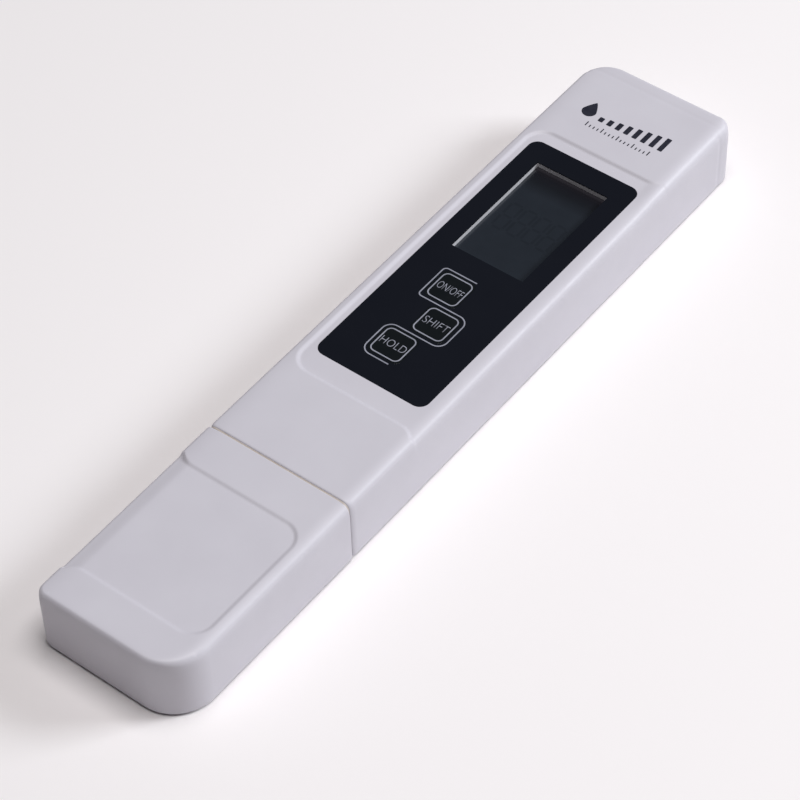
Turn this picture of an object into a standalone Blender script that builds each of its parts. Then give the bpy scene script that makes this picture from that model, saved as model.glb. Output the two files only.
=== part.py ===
# Digital water tester: pen-shaped meter lying on its back.
# X across the width, Y towards the display end, Z out of the front face.
import bmesh
import bpy
from math import cos, pi, radians, sin, tan
from mathutils import Matrix, Vector

MM = 0.001

# Overall body
WIDTH = 30.0 * MM
LENGTH = 156.0 * MM
THICKNESS = 13.6 * MM
HALF_W = WIDTH / 2
HALF_L = LENGTH / 2
WALL = 1.5 * MM
GAP = 0.3 * MM
FRONT_FILLET = 1.1 * MM
BACK_FILLET = 0.6 * MM
INNER_FRONT = 11.6 * MM

# Plan corner radii of the display end and of the cap end
RADIUS_TOP_LEFT = 6.0 * MM
RADIUS_TOP_RIGHT = 3.0 * MM
RADIUS_CAP_LEFT = 2.2 * MM
RADIUS_CAP_RIGHT = 8.0 * MM

# Cap, neck and probe
SEAM_Y = -34.5 * MM
BULKHEAD = 1.5 * MM
NECK_HALF_W = 13.3 * MM
NECK_Z0 = 1.7 * MM
NECK_Z1 = 11.7 * MM
NECK_WALL = 1.2 * MM
NECK_END_Y = -49.0 * MM
NECK_ROUND = 3.0 * MM
CAP_WALL = 1.4 * MM
SEAL_Y = -38.5 * MM
SEAL_WIDTH = 1.4 * MM
SEAL_DEPTH = 0.6 * MM
PIN_Z = 6.7 * MM
PIN_SPACING = 5.0 * MM
PIN_RADIUS = 1.25 * MM
SENSOR_RADIUS = 1.0 * MM
PIN_BACK_Y = -42.0 * MM
PIN_TIP_Y = -62.0 * MM
SENSOR_TIP_Y = -59.5 * MM
PLUG_END_Y = -52.6 * MM

# Recesses in the front face
RECESS_DEPTH = 0.6 * MM
RECESS_SLOPE = 0.75 * MM
BODY_RECESS_X0 = -13.4 * MM
BODY_RECESS_Y0 = -15.35 * MM
BODY_RECESS_Y1 = 56.3 * MM
CAP_RECESS_X1 = 13.0 * MM
CAP_RECESS_Y0 = -69.6 * MM
CAP_RECESS_Y1 = -42.6 * MM
RECESS_CORNER = 4.3 * MM

# Display overlay, window and keys
OVERLAY_HALF_W = 11.65 * MM
OVERLAY_Y0 = -10.9 * MM
OVERLAY_Y1 = 53.35 * MM
OVERLAY_Z0 = 12.5 * MM
OVERLAY_Z1 = 13.1 * MM
OVERLAY_CORNER = 2.0 * MM
WINDOW_HALF_W = 7.7 * MM
WINDOW_Y0 = 22.9 * MM
WINDOW_Y1 = 48.6 * MM
KEY_HALF = 3.3 * MM
KEY_HOLE_HALF = 3.5 * MM
KEY_FLANGE_HALF = 3.8 * MM
KEY_CORNER = 1.2 * MM
KEY_FLANGE_Z0 = 10.9 * MM
KEY_FLANGE_Z1 = 11.4 * MM
KEYS = (
    ("power", -1.3 * MM, 14.0 * MM),
    ("shift", 1.7 * MM, 6.0 * MM),
    ("hold", -1.3 * MM, -2.0 * MM),
)

# Board and display stack
BOARD_Z0 = 7.2 * MM
BOARD_Z1 = 8.2 * MM
BOARD_HALF_W = 12.4 * MM
BOARD_Y0 = -14.0 * MM
BOARD_Y1 = 50.6 * MM
BOARD_POSTS = ((-10.6, -11.0), (10.6, -11.0), (-10.6, 16.0), (10.6, 16.0))
POST_RADIUS = 2.0 * MM
PILOT_RADIUS = 0.65 * MM
SWITCH_HALF = 3.0 * MM
SWITCH_Z0 = 8.3 * MM
SWITCH_Z1 = 10.3 * MM
STEM_RADIUS = 1.5 * MM
STEM_Z0 = 9.9 * MM
STEM_Z1 = 10.8 * MM
GLASS_HALF_W = 9.5 * MM
GLASS_Y0 = 20.2 * MM
GLASS_Y1 = 49.8 * MM
GLASS_Z0 = 9.7 * MM
GLASS_Z1 = 11.3 * MM
FRAME_HALF_W = 11.2 * MM
FRAME_Y0 = 18.9 * MM
FRAME_Y1 = 50.75 * MM
STRIP_X = 8.3 * MM
TRIMMER_X = 6.0 * MM
TRIMMER_Y = 30.0 * MM
TRIMMER_HALF = 3.0 * MM

# Rear cover, battery door and battery bay
COVER_HALF_W = 13.2 * MM
COVER_Y0 = -32.7 * MM
COVER_Y1 = 76.2 * MM
COVER_Z1 = 1.6 * MM
COVER_POSTS = ((-9.0, -25.0), (9.0, -25.0))
DOOR_HALF_W = 10.0 * MM
DOOR_TONGUE_HALF_W = 11.2 * MM
DOOR_Y0 = 50.6 * MM
DOOR_Y1 = 77.7 * MM
DOOR_Z1 = 1.6 * MM
RAIL_Z1 = 2.8 * MM
CELL_RADIUS = 5.8 * MM
CELL_HEIGHT = 5.4 * MM
CELL_Z0 = 2.4 * MM
CELL_Y = (57.7 * MM, 69.5 * MM)
TRAY_HALF_W = 8.2 * MM
TRAY_Y0 = 51.0 * MM
TRAY_Y1 = 76.2 * MM
TRAY_Z0 = 2.2 * MM
TRAY_Z1 = 9.4 * MM

CORNER_STEPS = 8
FILLET_STEPS = 4


def clear_scene():
    for old in list(bpy.data.objects):
        bpy.data.objects.remove(old, do_unlink=True)
    for old in list(bpy.data.collections):
        bpy.data.collections.remove(old)


def new_collection(name):
    group = bpy.data.collections.new(name)
    bpy.context.scene.collection.children.link(group)
    return group


def material(name, colour, roughness, metallic=0.0, transmission=0.0):
    mat = bpy.data.materials.new(name)
    mat.use_nodes = True
    shader = mat.node_tree.nodes["Principled BSDF"]
    shader.inputs["Base Color"].default_value = (*colour, 1.0)
    shader.inputs["Roughness"].default_value = roughness
    shader.inputs["Metallic"].default_value = metallic
    shader.inputs["Transmission Weight"].default_value = transmission
    mat.diffuse_color = (*colour, 1.0)
    return mat


def arc_points(centre, start, end, radius, steps):
    angle = start.angle_signed(end) if start.length and end.length else 0.0
    points = []
    for k in range(steps + 1):
        turn = Matrix.Rotation(-angle * k / steps, 2)
        points.append(centre + turn @ start * radius)
    return points


def outline(corners, inset=0.0, steps=CORNER_STEPS):
    """Points round a polygon of (x, y, radius) corners, drawn in by inset."""
    count = len(corners)
    spots = [Vector((x, y)) for x, y, _ in corners]
    points = []
    for i, (_, _, radius) in enumerate(corners):
        before = (spots[i] - spots[i - 1]).normalized()
        after = (spots[(i + 1) % count] - spots[i]).normalized()
        in0 = Vector((-before.y, before.x))
        in1 = Vector((-after.y, after.x))
        vertex = spots[i] + (in0 + in1) * (inset / (1.0 + in0.dot(in1)))
        if radius <= 0.0:
            points.append(vertex)
            continue
        convex = before.x * after.y - before.y * after.x > 0.0
        side = 1.0 if convex else -1.0
        size = max(radius - side * inset, 0.04 * MM)
        turn = before.angle(after)
        centre = vertex - before * (size * tan(turn / 2)) + in0 * (side * size)
        points += arc_points(centre, -in0 * side, -in1 * side, size, steps)
    return points


def box_corners(x0, x1, y0, y1, radii):
    """Corner list anticlockwise from the lower left."""
    lower_left, lower_right, upper_right, upper_left = radii
    return [
        (x0, y0, lower_left),
        (x1, y0, lower_right),
        (x1, y1, upper_right),
        (x0, y1, upper_left),
    ]


def filleted(z0, z1, bottom, top, steps=FILLET_STEPS):
    """Heights and insets of a block with rounded lower and upper edges."""
    levels = []
    if bottom > 0.0:
        for k in range(steps + 1):
            a = pi / 2 * k / steps
            levels.append((z0 + bottom * (1 - cos(a)), bottom * (1 - sin(a))))
    else:
        levels.append((z0, 0.0))
    if top > 0.0:
        for k in range(steps + 1):
            a = pi / 2 * (1 - k / steps)
            levels.append((z1 - top * (1 - cos(a)), top * (1 - sin(a))))
    else:
        levels.append((z1, 0.0))
    return levels


def loft_into(bm, corners, levels, steps=CORNER_STEPS):
    rings = []
    for z, inset in levels:
        ring = [bm.verts.new((p.x, p.y, z)) for p in outline(corners, inset, steps)]
        rings.append(ring)
    count = len(rings[0])
    for low, high in zip(rings, rings[1:]):
        for i in range(count):
            j = (i + 1) % count
            bm.faces.new((low[i], low[j], high[j], high[i]))
    bm.faces.new(list(reversed(rings[0])))
    bm.faces.new(rings[-1])


def cylinder_into(bm, centre, radius, z0, z1, steps=24, top_radius=None):
    top = radius if top_radius is None else top_radius
    middle = Vector((centre[0], centre[1], (z0 + z1) / 2))
    bmesh.ops.create_cone(
        bm,
        cap_ends=True,
        segments=steps,
        radius1=radius,
        radius2=top,
        depth=z1 - z0,
        matrix=Matrix.Translation(middle),
    )


def to_object(bm, name, group, mat=None, smooth=False):
    bmesh.ops.recalc_face_normals(bm, faces=bm.faces)
    mesh = bpy.data.meshes.new(name)
    bm.to_mesh(mesh)
    bm.free()
    for face in mesh.polygons:
        face.use_smooth = smooth
    obj = bpy.data.objects.new(name, mesh)
    if mat:
        mesh.materials.append(mat)
    group.objects.link(obj)
    return obj


def block(name, group, corners, levels, mat=None, steps=CORNER_STEPS):
    bm = bmesh.new()
    loft_into(bm, corners, levels, steps)
    return to_object(bm, name, group, mat)


def turned_along_y(name, group, profile, centre, mat, steps=24):
    """Solid of revolution about a Y axis from (radius, y) pairs."""
    bm = bmesh.new()
    rings = []
    for radius, y in profile:
        ring = []
        for i in range(steps):
            a = 2 * pi * i / steps
            ring.append(bm.verts.new((centre[0] + radius * cos(a), y, centre[1] + radius * sin(a))))
        rings.append(ring)
    for low, high in zip(rings, rings[1:]):
        for i in range(steps):
            j = (i + 1) % steps
            bm.faces.new((low[i], low[j], high[j], high[i]))
    bm.faces.new(list(reversed(rings[0])))
    bm.faces.new(rings[-1])
    return to_object(bm, name, group, mat, smooth=True)


def boolean(obj, operation, cutter):
    cutter.hide_render = True
    cutter.display_type = "WIRE"
    mod = obj.modifiers.new(cutter.name, "BOOLEAN")
    mod.operation = operation
    mod.solver = "EXACT"
    mod.object = cutter
    return mod


def set_origin(obj, point):
    shift = Vector(point)
    obj.data.transform(Matrix.Translation(-shift))
    obj.location = shift


def body_recess_cutter(cutters):
    x1 = HALF_W + 4 * MM
    radii = (RECESS_CORNER, 0.0, 0.0, RECESS_CORNER)
    corners = box_corners(BODY_RECESS_X0, x1, BODY_RECESS_Y0, BODY_RECESS_Y1, radii)
    return block("recess_cut_body", cutters, corners, recess_levels())


def cap_recess_cutter(cutters):
    x0 = -HALF_W - 4 * MM
    radii = (0.0, RECESS_CORNER, RECESS_CORNER, 0.0)
    corners = box_corners(x0, CAP_RECESS_X1, CAP_RECESS_Y0, CAP_RECESS_Y1, radii)
    return block("recess_cut_cap", cutters, corners, recess_levels())


def recess_levels():
    floor = THICKNESS - RECESS_DEPTH
    return [
        (floor, RECESS_SLOPE),
        (floor + 0.08 * MM, RECESS_SLOPE * 0.62),
        (THICKNESS - 0.10 * MM, RECESS_SLOPE * 0.16),
        (THICKNESS + 0.02 * MM, -RECESS_SLOPE * 0.12),
        (THICKNESS + 1.0 * MM, -RECESS_SLOPE * 0.12),
    ]


def housing_posts(cutters):
    bm = bmesh.new()
    top = INNER_FRONT + 0.4 * MM
    for x, y in BOARD_POSTS:
        cylinder_into(bm, (x * MM, y * MM), POST_RADIUS, BOARD_Z1 + 0.15 * MM, top)
    for x, y in COVER_POSTS:
        cylinder_into(bm, (x * MM, y * MM), POST_RADIUS * 1.15, COVER_Z1 + 0.15 * MM, top)
    return to_object(bm, "post_add", cutters)


def pilot_holes(cutters):
    bm = bmesh.new()
    for x, y in BOARD_POSTS:
        cylinder_into(bm, (x * MM, y * MM), PILOT_RADIUS, BOARD_Z0, 11.2 * MM, 12)
    for x, y in COVER_POSTS:
        cylinder_into(bm, (x * MM, y * MM), PILOT_RADIUS, 1.0 * MM, 7.5 * MM, 12)
    return to_object(bm, "pilot_cut", cutters)


def front_openings(cutters):
    """Window and key holes through the front wall."""
    bm = bmesh.new()
    z0 = INNER_FRONT - 1.0 * MM
    z1 = THICKNESS + 1.0 * MM
    window = box_corners(
        -WINDOW_HALF_W, WINDOW_HALF_W, WINDOW_Y0, WINDOW_Y1, (0.3 * MM,) * 4
    )
    loft_into(bm, window, [(z0, 0.0), (z1, 0.0)], 3)
    for _, x, y in KEYS:
        h = KEY_HOLE_HALF
        hole = box_corners(x - h, x + h, y - h, y + h, (KEY_CORNER,) * 4)
        loft_into(bm, hole, [(z0, 0.0), (z1, 0.0)], 5)
    return to_object(bm, "opening_cut", cutters)


def overlay_pocket(cutters):
    g = 0.15 * MM
    corners = box_corners(
        -OVERLAY_HALF_W - g,
        OVERLAY_HALF_W + g,
        OVERLAY_Y0 - g,
        OVERLAY_Y1 + g,
        (OVERLAY_CORNER + g,) * 4,
    )
    levels = [(OVERLAY_Z0 - 0.05 * MM, 0.0), (THICKNESS + 1.0 * MM, 0.0)]
    return block("overlay_pocket_cut", cutters, corners, levels)


def main_cavity(cutters):
    w = WALL
    radii = (0.6 * MM, 0.6 * MM, RADIUS_TOP_RIGHT - w, RADIUS_TOP_LEFT - w)
    corners = box_corners(
        -HALF_W + w, HALF_W - w, SEAM_Y + GAP + BULKHEAD, HALF_L - w, radii
    )
    levels = [(-1.0 * MM, 0.0), (INNER_FRONT - 0.8 * MM, 0.0), (INNER_FRONT, 0.8 * MM)]
    return block("main_cavity_cut", cutters, corners, levels, steps=5)


def neck_slice(name, group, grow, y0, y1, mat=None):
    """Rounded section of the neck, grown or shrunk, carried along Y."""
    half = NECK_HALF_W + grow
    radius = NECK_ROUND + grow
    section = outline(
        box_corners(-half, half, NECK_Z0 - grow, NECK_Z1 + grow, (radius,) * 4), steps=6
    )
    bm = bmesh.new()
    rings = [[bm.verts.new((p.x, y, p.y)) for p in section] for y in (y0, y1)]
    count = len(section)
    for i in range(count):
        j = (i + 1) % count
        bm.faces.new((rings[0][i], rings[0][j], rings[1][j], rings[1][i]))
    bm.faces.new(list(reversed(rings[0])))
    bm.faces.new(rings[1])
    return to_object(bm, name, group, mat)


def seal_groove(cutters):
    """Ring-shaped cutter round the neck."""
    y0 = SEAL_Y - SEAL_WIDTH / 2 - 0.1 * MM
    y1 = SEAL_Y + SEAL_WIDTH / 2 + 0.1 * MM
    ring = neck_slice("seal_groove_cut", cutters, 0.5 * MM, y0, y1)
    core = neck_slice("seal_core_cut", cutters, -SEAL_DEPTH, y0 - 1 * MM, y1 + 1 * MM)
    boolean(ring, "DIFFERENCE", core)
    return ring


def front_housing(parts, cutters, mat):
    radii = (0.3 * MM, 0.3 * MM, RADIUS_TOP_RIGHT, RADIUS_TOP_LEFT)
    corners = box_corners(-HALF_W, HALF_W, SEAM_Y + GAP, HALF_L, radii)
    levels = filleted(0.0, THICKNESS, BACK_FILLET, FRONT_FILLET)
    body = block("front_housing", parts, corners, levels, mat)
    boolean(body, "UNION", neck_slice("neck_add", cutters, 0.0, NECK_END_Y, SEAM_Y + 1 * MM))
    boolean(body, "DIFFERENCE", main_cavity(cutters))
    bore = neck_slice("neck_cavity_cut", cutters, -NECK_WALL, NECK_END_Y - 2 * MM, SEAM_Y + 4 * MM)
    boolean(body, "DIFFERENCE", bore)
    boolean(body, "UNION", housing_posts(cutters))
    boolean(body, "DIFFERENCE", pilot_holes(cutters))
    boolean(body, "DIFFERENCE", body_recess_cutter(cutters))
    boolean(body, "DIFFERENCE", overlay_pocket(cutters))
    boolean(body, "DIFFERENCE", front_openings(cutters))
    boolean(body, "DIFFERENCE", seal_groove(cutters))
    boolean(body, "DIFFERENCE", door_notch(cutters))
    return body


def door_notch(cutters):
    half = DOOR_TONGUE_HALF_W + GAP
    corners = box_corners(-half, half, HALF_L - 2.2 * MM, HALF_L + 2 * MM, (0.0,) * 4)
    levels = [(-1.0 * MM, 0.0), (DOOR_Z1 + 2 * GAP, 0.0)]
    return block("door_notch_cut", cutters, corners, levels)


def probe_cap(parts, cutters, mat):
    radii = (RADIUS_CAP_LEFT, RADIUS_CAP_RIGHT, 0.3 * MM, 0.3 * MM)
    corners = box_corners(-HALF_W, HALF_W, -HALF_L, SEAM_Y, radii)
    cap = block("probe_cap", parts, corners, filleted(0.0, THICKNESS, 0.8 * MM, FRONT_FILLET), mat)
    w = CAP_WALL
    half = HALF_W - w
    inner_radii = (1.2 * MM, RADIUS_CAP_RIGHT - w, 0.0, 0.0)
    inner = box_corners(-half, half, -HALF_L + w + 0.1 * MM, SEAM_Y + 5 * MM, inner_radii)
    r = NECK_ROUND + GAP
    levels = filleted(NECK_Z0 - GAP, NECK_Z1 + GAP, r, r)
    cavity = block("cap_cavity_cut", cutters, inner, levels)
    boolean(cap, "DIFFERENCE", cavity)
    boolean(cap, "DIFFERENCE", cap_recess_cutter(cutters))
    return cap


def cap_seal_ring(parts, cutters, mat):
    y0 = SEAL_Y - SEAL_WIDTH / 2
    y1 = SEAL_Y + SEAL_WIDTH / 2
    ring = neck_slice("cap_seal_ring", parts, 0.2 * MM, y0, y1, mat)
    inset = SEAL_DEPTH - 0.1 * MM
    core = neck_slice("seal_ring_bore_cut", cutters, -inset, y0 - 1 * MM, y1 + 1 * MM)
    boolean(ring, "DIFFERENCE", core)
    return ring


def pin_holes(cutters):
    bores = []
    for name, x, radius in (
        ("left", -PIN_SPACING, PIN_RADIUS),
        ("right", PIN_SPACING, PIN_RADIUS),
        ("centre", 0.0, SENSOR_RADIUS),
    ):
        profile = [(radius + 0.05 * MM, PLUG_END_Y - 2 * MM), (radius + 0.05 * MM, PIN_BACK_Y + 2 * MM)]
        bores.append(turned_along_y("pin_bore_cut_" + name, cutters, profile, (x, PIN_Z), None))
    return bores


def probe_plug(parts, cutters, mat):
    face_y = NECK_END_Y - 0.1 * MM
    plug = neck_slice("probe_plug", parts, -0.3 * MM, PLUG_END_Y, face_y, mat)
    inner = -NECK_WALL - 0.15 * MM
    spigot = neck_slice("plug_spigot_add", cutters, inner, face_y - 1 * MM, NECK_END_Y + 4 * MM)
    boolean(plug, "UNION", spigot)
    for bore in pin_holes(cutters):
        boolean(plug, "DIFFERENCE", bore)
    return plug


def pin(parts, name, x, radius, tip_y, mat):
    r = radius
    profile = [
        (r * 0.55, tip_y),
        (r * 0.85, tip_y + r * 0.3),
        (r, tip_y + r * 0.8),
        (r, PIN_BACK_Y - 1.5 * MM),
        (r * 0.6, PIN_BACK_Y - 1.5 * MM),
        (r * 0.6, PIN_BACK_Y),
    ]
    return turned_along_y(name, parts, profile, (x, PIN_Z), mat)


def display_overlay(parts, cutters, mat):
    corners = box_corners(
        -OVERLAY_HALF_W, OVERLAY_HALF_W, OVERLAY_Y0, OVERLAY_Y1, (OVERLAY_CORNER,) * 4
    )
    levels = filleted(OVERLAY_Z0, OVERLAY_Z1, 0.0, 0.1 * MM, 2)
    overlay = block("display_overlay", parts, corners, levels, mat)
    boolean(overlay, "DIFFERENCE", bpy.data.objects["opening_cut"])
    return overlay


def key(parts, name, x, y, mat):
    bm = bmesh.new()
    cap = box_corners(x - KEY_HALF, x + KEY_HALF, y - KEY_HALF, y + KEY_HALF, (KEY_CORNER,) * 4)
    grow = KEY_FLANGE_HALF - KEY_HALF
    levels = [
        (KEY_FLANGE_Z0, -grow),
        (KEY_FLANGE_Z1, -grow),
        (KEY_FLANGE_Z1, 0.0),
        (OVERLAY_Z1 - 0.1 * MM, 0.0),
        (OVERLAY_Z1, 0.1 * MM),
    ]
    loft_into(bm, cap, levels, 5)
    obj = to_object(bm, "key_" + name, parts, mat)
    set_origin(obj, (x, y, KEY_FLANGE_Z0))
    return obj


def switch_body(parts, cutters, name, x, y, mat):
    h = SWITCH_HALF
    corners = box_corners(x - h, x + h, y - h, y + h, (0.4 * MM,) * 4)
    obj = block("switch_body_" + name, parts, corners, [(SWITCH_Z0, 0.0), (SWITCH_Z1, 0.0)], mat, 3)
    bm = bmesh.new()
    cylinder_into(bm, (x, y), STEM_RADIUS + 0.2 * MM, STEM_Z0 - 0.5 * MM, SWITCH_Z1 + 1 * MM)
    boolean(obj, "DIFFERENCE", to_object(bm, "switch_well_cut_" + name, cutters))
    return obj


def switch_stem(parts, name, x, y, mat):
    bm = bmesh.new()
    cylinder_into(bm, (x, y), STEM_RADIUS, STEM_Z0, STEM_Z1)
    obj = to_object(bm, "switch_stem_" + name, parts, mat)
    set_origin(obj, (x, y, STEM_Z0))
    return obj


def lcd_glass(parts, mat):
    corners = box_corners(-GLASS_HALF_W, GLASS_HALF_W, GLASS_Y0, GLASS_Y1, (0.2 * MM,) * 4)
    return block("lcd_glass", parts, corners, [(GLASS_Z0, 0.0), (GLASS_Z1, 0.0)], mat, 2)


def lcd_frame(parts, cutters, mat):
    outer = box_corners(-FRAME_HALF_W, FRAME_HALF_W, FRAME_Y0, FRAME_Y1, (0.8 * MM,) * 4)
    frame = block("lcd_frame", parts, outer, [(BOARD_Z1 + 0.1 * MM, 0.0), (GLASS_Z1 + 0.1 * MM, 0.0)], mat, 4)
    g = 0.25 * MM
    pocket = box_corners(
        -GLASS_HALF_W - g, GLASS_HALF_W + g, GLASS_Y0 - g, GLASS_Y1 + g, (0.3 * MM,) * 4
    )
    levels = [(GLASS_Z0 - 0.1 * MM, 0.0), (THICKNESS, 0.0)]
    boolean(frame, "DIFFERENCE", block("glass_pocket_cut", cutters, pocket, levels, steps=2))
    bm = bmesh.new()
    z = [(BOARD_Z0, 0.0), (GLASS_Z0 + 0.5 * MM, 0.0)]
    for side in (-1, 1):
        x = side * STRIP_X
        slot = box_corners(x - 1.0 * MM, x + 1.0 * MM, 21.0 * MM, 49.0 * MM, (0.0,) * 4)
        loft_into(bm, slot, z)
    middle = box_corners(-6.4 * MM, 6.4 * MM, 21.0 * MM, 49.0 * MM, (0.5 * MM,) * 4)
    loft_into(bm, middle, z, 3)
    boolean(frame, "DIFFERENCE", to_object(bm, "strip_slot_cut", cutters))
    return frame


def contact_strip(parts, name, side, mat):
    x = side * STRIP_X
    corners = box_corners(x - 0.9 * MM, x + 0.9 * MM, 21.2 * MM, 48.8 * MM, (0.0,) * 4)
    levels = [(BOARD_Z1 + 0.05 * MM, 0.0), (GLASS_Z0 - 0.05 * MM, 0.0)]
    return block("contact_strip_" + name, parts, corners, levels, mat)


def main_board(parts, cutters, mat):
    corners = box_corners(-BOARD_HALF_W, BOARD_HALF_W, BOARD_Y0, BOARD_Y1, (1.0 * MM,) * 4)
    board = block("main_board", parts, corners, [(BOARD_Z0, 0.0), (BOARD_Z1, 0.0)], mat, 4)
    bm = bmesh.new()
    for x, y in BOARD_POSTS:
        cylinder_into(bm, (x * MM, y * MM), 0.9 * MM, BOARD_Z0 - 1 * MM, BOARD_Z1 + 1 * MM, 16)
    boolean(board, "DIFFERENCE", to_object(bm, "board_hole_cut", cutters))
    return board


def chip_blob(parts, mat):
    bm = bmesh.new()
    rings = ((5.0, 7.1), (4.9, 6.8), (4.2, 6.3), (2.8, 5.95), (1.2, 5.8))
    steps = 24
    loops = []
    for radius, z in rings:
        loop = []
        for i in range(steps):
            a = 2 * pi * i / steps
            x = -4.0 * MM + radius * MM * cos(a)
            y = 32.0 * MM + radius * MM * sin(a)
            loop.append(bm.verts.new((x, y, z * MM)))
        loops.append(loop)
    for low, high in zip(loops, loops[1:]):
        for i in range(steps):
            j = (i + 1) % steps
            bm.faces.new((low[i], low[j], high[j], high[i]))
    bm.faces.new(loops[0])
    bm.faces.new(list(reversed(loops[-1])))
    return to_object(bm, "chip_blob", parts, mat, smooth=True)


def trimmer_body(parts, cutters, mat):
    h = TRIMMER_HALF
    corners = box_corners(
        TRIMMER_X - h, TRIMMER_X + h, TRIMMER_Y - h, TRIMMER_Y + h, (0.3 * MM,) * 4
    )
    body = block("trimmer_body", parts, corners, [(3.9 * MM, 0.0), (7.1 * MM, 0.0)], mat, 2)
    bm = bmesh.new()
    cylinder_into(bm, (TRIMMER_X, TRIMMER_Y), 2.2 * MM, 2.0 * MM, 5.0 * MM)
    boolean(body, "DIFFERENCE", to_object(bm, "rotor_well_cut", cutters))
    return body


def trimmer_rotor(parts, cutters, mat):
    bm = bmesh.new()
    cylinder_into(bm, (TRIMMER_X, TRIMMER_Y), 2.0 * MM, 3.5 * MM, 4.8 * MM)
    rotor = to_object(bm, "trimmer_rotor", parts, mat)
    corners = box_corners(
        TRIMMER_X - 0.3 * MM, TRIMMER_X + 0.3 * MM, TRIMMER_Y - 1.5 * MM, TRIMMER_Y + 1.5 * MM, (0.0,) * 4
    )
    slot = block("driver_slot_cut", cutters, corners, [(3.0 * MM, 0.0), (4.1 * MM, 0.0)])
    boolean(rotor, "DIFFERENCE", slot)
    set_origin(rotor, (TRIMMER_X, TRIMMER_Y, 3.5 * MM))
    return rotor


def crystal(parts, mat):
    corners = box_corners(-9.8 * MM, -6.8 * MM, 3.0 * MM, 11.0 * MM, (1.4 * MM,) * 4)
    return block("crystal", parts, corners, filleted(4.6 * MM, 7.1 * MM, 0.3 * MM, 0.0, 2), mat, 5)


def screw(parts, name, x, y, head_z, tip_z, head_radius, mat):
    """Pan-head screw, head towards the back, driven along +Z."""
    bm = bmesh.new()
    steps = 20
    shank = PILOT_RADIUS - 0.08 * MM
    profile = (
        (head_radius * 0.8, head_z),
        (head_radius, head_z + 0.25 * MM),
        (head_radius, head_z + 0.75 * MM),
        (shank, head_z + 0.75 * MM),
        (shank, tip_z - 0.5 * MM),
        (shank * 0.4, tip_z),
    )
    loops = []
    for radius, z in profile:
        loop = []
        for i in range(steps):
            a = 2 * pi * i / steps
            loop.append(bm.verts.new((x + radius * cos(a), y + radius * sin(a), z)))
        loops.append(loop)
    for low, high in zip(loops, loops[1:]):
        for i in range(steps):
            j = (i + 1) % steps
            bm.faces.new((low[i], low[j], high[j], high[i]))
    bm.faces.new(list(reversed(loops[0])))
    bm.faces.new(loops[-1])
    return to_object(bm, name, parts, mat)


def rear_cover(parts, cutters, mat):
    radii = (0.4 * MM, 0.4 * MM, 1.3 * MM, 4.2 * MM)
    corners = box_corners(-COVER_HALF_W, COVER_HALF_W, COVER_Y0, COVER_Y1, radii)
    cover = block("rear_cover", parts, corners, filleted(0.0, COVER_Z1, 0.2 * MM, 0.0, 2), mat, 5)
    boolean(cover, "UNION", door_rails(cutters))
    half = DOOR_HALF_W + GAP
    opening = box_corners(-half, half, DOOR_Y0 - GAP, HALF_L + 2 * MM, (0.6 * MM, 0.6 * MM, 0.0, 0.0))
    boolean(cover, "DIFFERENCE", block("door_opening_cut", cutters, opening, [(-1 * MM, 0.0), (5 * MM, 0.0)]))
    half = DOOR_TONGUE_HALF_W + GAP
    groove = box_corners(-half, half, DOOR_Y0 - GAP, HALF_L + 2 * MM, (0.6 * MM, 0.6 * MM, 0.0, 0.0))
    levels = [(0.8 * MM, 0.0), (DOOR_Z1 + GAP, 0.0)]
    boolean(cover, "DIFFERENCE", block("door_groove_cut", cutters, groove, levels))
    bm = bmesh.new()
    for x, y in COVER_POSTS:
        cylinder_into(bm, (x * MM, y * MM), 0.9 * MM, -1 * MM, 3 * MM, 16)
        cylinder_into(bm, (x * MM, y * MM), 1.9 * MM, -2 * MM, 0.9 * MM, 20)
    holes = to_object(bm, "cover_screw_hole_cut", cutters)
    mod = boolean(cover, "DIFFERENCE", holes)
    mod.use_self = True
    bm = bmesh.new()
    cylinder_into(bm, (TRIMMER_X, TRIMMER_Y), 1.8 * MM, -1 * MM, 3 * MM, 24)
    boolean(cover, "DIFFERENCE", to_object(bm, "trimmer_access_cut", cutters))
    return cover


def door_rails(cutters):
    bm = bmesh.new()
    for side in (-1, 1):
        x0 = min(side * 9.9, side * 12.6) * MM
        x1 = max(side * 9.9, side * 12.6) * MM
        rail = box_corners(x0, x1, DOOR_Y0 - 0.8 * MM, 71.5 * MM, (0.0,) * 4)
        loft_into(bm, rail, [(1.0 * MM, 0.0), (RAIL_Z1, 0.0)])
    return to_object(bm, "door_rail_add", cutters)


def battery_door(parts, cutters, mat):
    corners = box_corners(-DOOR_HALF_W, DOOR_HALF_W, DOOR_Y0, DOOR_Y1, (0.4 * MM, 0.4 * MM, 1.5 * MM, 1.5 * MM))
    door = block("battery_door", parts, corners, filleted(0.0, DOOR_Z1, 0.3 * MM, 0.0, 2), mat, 4)
    half = DOOR_TONGUE_HALF_W
    tongue = box_corners(-half, half, DOOR_Y0 + 0.3 * MM, 72.0 * MM, (0.0,) * 4)
    levels = [(1.1 * MM, 0.0), (DOOR_Z1 - 0.02 * MM, 0.0)]
    boolean(door, "UNION", block("door_tongue_add", cutters, tongue, levels))
    bm = bmesh.new()
    for k in range(5):
        y = (66.0 + 1.6 * k) * MM
        groove = box_corners(-4.5 * MM, 4.5 * MM, y, y + 0.8 * MM, (0.35 * MM,) * 4)
        loft_into(bm, groove, [(-1.0 * MM, 0.0), (0.35 * MM, 0.0)], 3)
    boolean(door, "DIFFERENCE", to_object(bm, "grip_groove_cut", cutters))
    return door


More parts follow.
